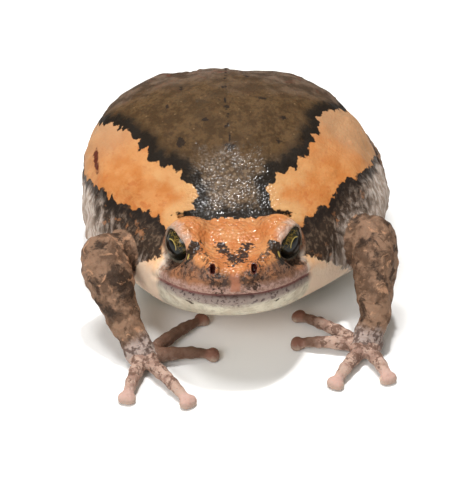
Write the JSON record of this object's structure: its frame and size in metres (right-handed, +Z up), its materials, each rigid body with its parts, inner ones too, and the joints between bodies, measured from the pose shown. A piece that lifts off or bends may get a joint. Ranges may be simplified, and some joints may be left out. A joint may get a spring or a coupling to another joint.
{
  "type": "asian painted frog",
  "caption": "Life-size still model of an Asian painted frog, puffed up and propped on its splayed forelegs, as a museum shows it.",
  "frame": {"origin": "middle of the frog's box, on the floor it sits on", "axes": "+X to the frog's left, +Y from the snout towards the rump, +Z up"},
  "size_m": [0.0486, 0.069, 0.0275],
  "materials": {
    "skin": "moist, finely granular skin, olive brown with orange bands",
    "head_skin": "wet, granular orange and brown skin with a grey-mauve lip",
    "limb_skin": "moist mottled grey-brown skin",
    "hand_skin": "moist pinkish-grey skin",
    "eye": "wet, glossy, near-black with gold flecks"
  },
  "bodies": {
    "root": {"head": "head_skin", "torso": "skin", "eye_left": "eye", "eye_right": "eye", "upper_arm_left": "limb_skin", "upper_arm_right": "limb_skin", "forearm_left": "limb_skin", "forearm_right": "limb_skin", "hand_left": "hand_skin", "hand_right": "hand_skin", "thigh_left": "limb_skin", "thigh_right": "limb_skin", "shank_left": "limb_skin", "shank_right": "limb_skin", "foot_left": "hand_skin", "foot_right": "hand_skin"}
  },
  "joints": []
}
